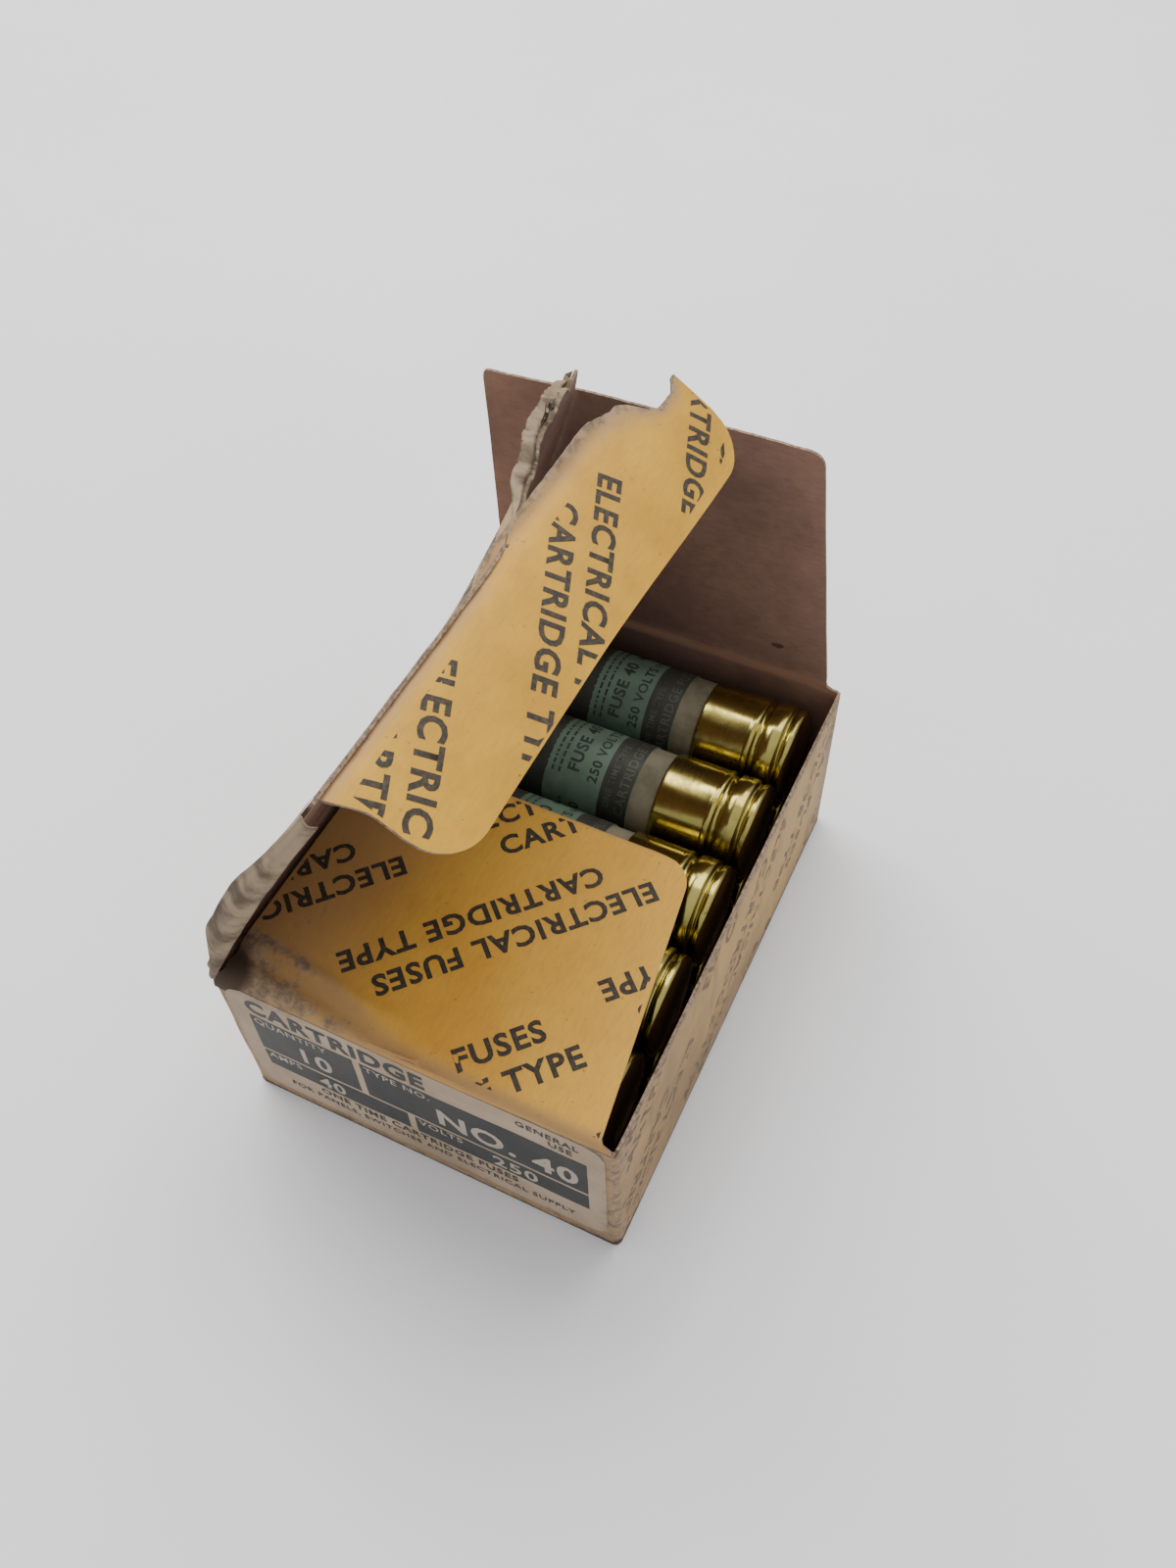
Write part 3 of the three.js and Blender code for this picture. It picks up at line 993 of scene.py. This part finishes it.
def make_bottom():
    def surface(u, v):
        sag = 0.12 * rough(u, v, 91.0, 30)
        return Vector((u, -v, max(0.0, 0.05 + sag * 0.3)))

    def outline(a, b):
        u, v = lerp(-HALF_X + 0.35, HALF_X - 0.35, a), lerp(-HALF_Y + 0.35, HALF_Y - 0.35, b)
        return u, v

    def wear(u, v):
        rim = min(HALF_X - abs(u), HALF_Y - abs(v))
        return 0.15 + 0.5 * math.exp(-rim / 2)
    made = board("bottom_board", surface, outline, (40, 56), wear, WALL_SET)
    rides(made, "carton", "printed_board", "bottom_outer_flap")
    for node in ("bottom_inner_flap", "bottom_front_minor_flap", "bottom_rear_minor_flap", "glue_flap"):
        frame["nodes"][node].data.materials.clear()
        frame["nodes"][node].data.materials.append(BROWN)


# ---- fuses

FERRULE_LOW, FERRULE_HIGH = node_box("upper_fuse_1_rejection_ferrule")
FERRULE_R = (FERRULE_HIGH.z - FERRULE_LOW.z) / 2
TUBE_R = FERRULE_R - 0.75
WRAP_R = TUBE_R + 0.28
WRAP_BAND = 6.4  # width of the dark band at each end of the wrap
SEGMENTS = 72


def rounded(profile, radius=0.22):
    """A profile with each inner corner cut by two points."""
    made = [profile[0]]
    for before, here, after in zip(profile, profile[1:], profile[2:]):
        here = Vector(here)
        for other in (Vector(before), Vector(after)):
            away = other - here
            share = min(radius, away.length * 0.4)
            made.append(tuple(here + away.normalized() * share))
    return made + [profile[-1]]


def dent_depth(x, angle, dents):
    """How far a turned surface is pressed in by round dents, each (x, angle, depth, size)."""
    total = 0.0
    for dent_x, dent_angle, deep, size in dents:
        around = FERRULE_R * math.remainder(angle - dent_angle, 2 * math.pi)
        total += deep * math.exp(-((x - dent_x) / size) ** 2 - (around / size) ** 2)
    return total


def lathe(name, profile, center, materials, face_material=None, dents=()):
    """A shape turned about the X axis through center; the profile is open and ends on the axis,
    or closed where its first and last points are the same."""
    closed = profile[0] == profile[-1]
    points = profile[:-1] if closed else profile
    verts, faces, indices = [], [], []
    for x, r in points:
        for k in range(SEGMENTS):
            angle = 2 * math.pi * k / SEGMENTS
            pressed = r - dent_depth(x, angle, dents)
            verts.append(center + Vector((x, pressed * math.cos(angle), pressed * math.sin(angle))))
    spans = list(zip(range(len(points)), range(1, len(points))))
    if closed:
        spans.append((len(points) - 1, 0))
    for a, b in spans:
        for k in range(SEGMENTS):
            m = (k + 1) % SEGMENTS
            faces.append((a * SEGMENTS + k, a * SEGMENTS + m, b * SEGMENTS + m, b * SEGMENTS + k))
            indices.append(face_material(points[a], points[b]) if face_material else 0)
    if not closed:
        faces.append(tuple(range(SEGMENTS))[::-1])
        last = (len(points) - 1) * SEGMENTS
        faces.append(tuple(range(last, last + SEGMENTS)))
        indices += [0, 0]
    made = make_object(name, verts, faces, materials, indices)
    face_outward(made)
    sharpen(made, 60)
    return made


def ferrule_profile(length, end, sign, grooved):
    """Closed profile of a drawn brass cap; x runs from its closed end toward the fuse's middle."""
    r = FERRULE_R
    steps = [(0, 0.4), (0, r - 2.2), (0.2, r - 1.6), (0.25, r - 0.8), (0.8, r - 0.35)]
    if grooved:
        steps += [(1.9, r - 0.35), (2.2, r - 0.75), (2.8, r - 0.75), (3.1, r), (6.7, r), (6.9, r - 0.9),
                  (8.0, r - 0.9), (8.3, r - 0.05), (9.3, r), (9.6, r - 0.12)]
    steps += [(length - 0.5, r - 0.05), (length, r - 0.2), (length, r - 0.62), (9.8, r - 0.62)]
    steps += [(9.5, r - 1.5), (1.4, r - 1.5)] if grooved else []
    steps += [(1.2, r - 2.2), (1.2, 0.4), (0, 0.4)]
    return [(end - sign * x, radius) for x, radius in rounded(steps)]


def fuse_center(name):
    low, high = node_box(f"{name}_rejection_ferrule")
    left = node_box(f"{name}_plain_ferrule")[0].x
    return Vector(((left + high.x) / 2, (low.y + high.y) / 2, (low.z + high.z) / 2))


def make_fuse(name, index):
    center = fuse_center(name)
    length = node_box(f"{name}_rejection_ferrule")
    reach = length[1].x - length[0].x
    half = length[1].x - center.x
    dents = [(half - reach + 4.2, 1.15, 0.6, 0.9)] if name == "upper_fuse_1" else []
    for side, sign, grooved in (("rejection", 1, True), ("plain", -1, False)):
        profile = ferrule_profile(reach, sign * half, sign, grooved)
        made = lathe(f"{name}_{side}_cap", profile, center, [BRASS], None, dents if grooved else ())
        rides(made, name, "ferrule_brass", f"{name}_{side}_ferrule")
    make_tube(name, center, half, reach)
    if name.startswith("upper"):
        make_wrap(name, center, half - reach - 5.0, index)


def make_tube(name, center, half, reach):
    end = half - 9.9
    profile = rounded([(-end, 6.0), (-end, TUBE_R), (-half + reach - 1, TUBE_R), (0, TUBE_R),
                       (half - reach + 1, TUBE_R), (end, TUBE_R), (end, 6.0)])
    profile = profile + [profile[0]]
    made = lathe(f"{name}_tube", profile, center, [FIBRE])
    upper = name.startswith("upper")
    rides(made, name, "fibre_tube", f"{name}_fibre_tube" if upper else f"{name}_filled_tube")
    if upper:
        for part, material in (("element", BRASS), ("sand_filler", TORN)):
            node = frame["nodes"][f"{name}_{part}"]
            node.data.materials.clear()
            node.data.materials.append(material)


def make_wrap(name, center, reach, index):
    """The paper wrap: a green field with a dark band at each end, and its print."""
    field = reach - WRAP_BAND
    stations = (-reach, -field, -field + 0.01, field, field + 0.01, reach)
    profile = [(-reach, WRAP_R - 0.2)] + [(x, WRAP_R) for x in stations] \
        + [(reach, WRAP_R - 0.2), (-reach, WRAP_R - 0.2)]

    def which(a, b):
        """1 for a stretch of the outer face that lies in a band, otherwise 0."""
        in_band = max(abs(a[0]), abs(b[0])) > field + 0.05 and a[0] * b[0] > 0
        return int(in_band and a[1] == b[1] == WRAP_R)
    made = lathe(f"{name}_wrap", profile, center, [GREEN, DARK_BAND], which)
    rides(made, name, "green_wrap", f"{name}_paper_wrap")
    turn = math.radians(96 + 14 * math.sin(2.1 * index))

    def surface(u, v):
        """u round the fuse from the front up and over to the rear, v against X."""
        angle = turn - u / WRAP_R
        return center + Vector((-v, WRAP_R * math.cos(angle), WRAP_R * math.sin(angle)))
    for part, words, rows, material in (("wrap", *field_print(field), WRAP_INK),
                                        ("band", *band_print(reach), BAND_INK)):
        printed = wrap_print(f"{name}_{part}_print", surface, reach, words, rows, material)
        rides(printed, name, "green_wrap")


def field_print(top):
    """The green field's words and rows of small print, set down from its end at top."""
    words = [("250 VOLTS", -9, top - 1.2, 2.9, 0.07), ("OR LESS", 7, top - 1.4, 1.8, 0.03),
             ("FUSE 40", -8, top - 5.4, 3.6, 0.1), ("AMPS", 8.5, top - 5.6, 2.2, 0.04),
             ("TYPE 40", -27, top - 4, 3.2, 0.08)]
    rows = [(-9, 12, top - 9.2 - 1.5 * k, 0.5) for k in range(3)] + [(-27, -14, top - 8, 0.5)]
    return words, rows


def band_print(end):
    """The words of the dark band at the wrap's end; it has no small print."""
    words = [("CARTRIDGE FUSE", -14, end - 0.7, 2.8, 0.06),
             ("ONE TIME TYPE", -13, end - 3.9, 1.9, 0.03),
             ("CARTRIDGE FUSE", 13, end - 0.7, 2.8, 0.06)]
    return words, []


def wrap_print(name, surface, reach, words, rows, material):
    """Words that read round the fuse, each (text, start round it, baseline along it, size,
    weight), and small print as dashes, each row (start, end, baseline, height)."""
    pieces = [(text_mesh(text, size, bold), Matrix.Translation((u, -x, 0)))
              for text, u, x, size, bold in words]
    dashes = random.Random(5)
    for u, end, x, tall in rows:
        while u < end:
            long = dashes.uniform(0.4, 1.5)
            pieces.append((rectangle_mesh(u, -x, u + long, -x + tall), Matrix.Identity(4)))
            u += long + 0.45
    clip = box_clip(-29, -reach + 0.2, 29, reach - WRAP_BAND)
    return drape(name, pieces, surface, clip, material, 0.05, 1.5)


# ---- stage

def make_floor():
    size = 2500.0
    verts = [Vector((x, y, -0.02)) for x, y in ((-size, -size), (size, -size), (size, size), (-size, size))]
    floor = make_object("floor", verts, [(0, 1, 2, 3)], [plain_sheet("floor_sheet", rgb(243, 242, 242), 0.8)])
    floor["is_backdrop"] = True


def area_light(name, place, target, size, power, color):
    light = bpy.data.lights.new(name, "AREA")
    light.size = size
    light.energy = power
    light.color = color
    made = bpy.data.objects.new(name, light)
    made.location = place
    made.rotation_euler = (Vector(target) - Vector(place)).to_track_quat("-Z", "Y").to_euler()
    bpy.context.scene.collection.objects.link(made)


def make_lights():
    """A soft sky, paler overhead than at its rim, and two large lights up behind the carton."""
    world = bpy.data.worlds.new("studio")
    world.use_nodes = True
    tree = world.node_tree
    background = tree.nodes["Background"]
    place = tree.nodes.new("ShaderNodeTexCoord").outputs["Generated"]
    split = tree.nodes.new("ShaderNodeSeparateXYZ")
    tree.links.new(place, split.inputs[0])
    height = tree.nodes.new("ShaderNodeMapRange")
    tree.links.new(split.outputs["Z"], height.inputs["Value"])
    shade = tree.nodes.new("ShaderNodeValToRGB")
    shade.color_ramp.elements[0].color = (0.30, 0.31, 0.33, 1)
    shade.color_ramp.elements[1].color = (1.0, 1.02, 1.06, 1)
    tree.links.new(height.outputs[0], shade.inputs["Fac"])
    tree.links.new(shade.outputs["Color"], background.inputs["Color"])
    background.inputs["Strength"].default_value = 1.05
    bpy.context.scene.world = world
    area_light("window", (-0.6, 0.35, 1.0), (0, 0, 0.03), 0.7, 10.4, (1.0, 0.98, 0.95))
    area_light("ceiling", (0.05, 0.65, 1.1), (0.05, 0.1, 0), 0.9, 8.6, (1.0, 0.99, 0.98))


def make_camera():
    """Looks down on the open carton from in front and to its right."""
    camera = bpy.data.cameras.new("camera")
    camera.sensor_fit = "VERTICAL"
    camera.sensor_height = 36.0
    camera.lens = 30.15
    camera.clip_start = 0.01
    made = bpy.data.objects.new("camera", camera)
    azimuth, elevation, roll = (math.radians(angle) for angle in (27.7, 51.86, -2.5))
    level = math.cos(elevation)
    away = Vector((level * math.sin(azimuth), -level * math.cos(azimuth), math.sin(elevation)))
    aim, distance = Vector((-1.85, 20.88, 30)), 277.5
    place = aim + distance * away
    turn = (-away).to_track_quat("-Z", "Y").to_matrix().to_4x4()
    made.matrix_world = Matrix.Translation(place * MM) @ turn @ Matrix.Rotation(roll, 4, "Z")
    bpy.context.scene.collection.objects.link(made)
    bpy.context.scene.camera = made


make_sleeve()
print_walls()
make_front_flap()
make_rear_flap()
make_lid()
make_tuck()
make_crushed_edges()
make_label()
make_bottom()
for layer in ("upper", "lower"):
    for number in range(1, 6):
        make_fuse(f"{layer}_fuse_{number}", number)
make_floor()
make_lights()
make_camera()

boxes = {"cad": cad_bounds, "visual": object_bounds()}
{key: [list(corner) for corner in value] for key, value in boxes.items()}
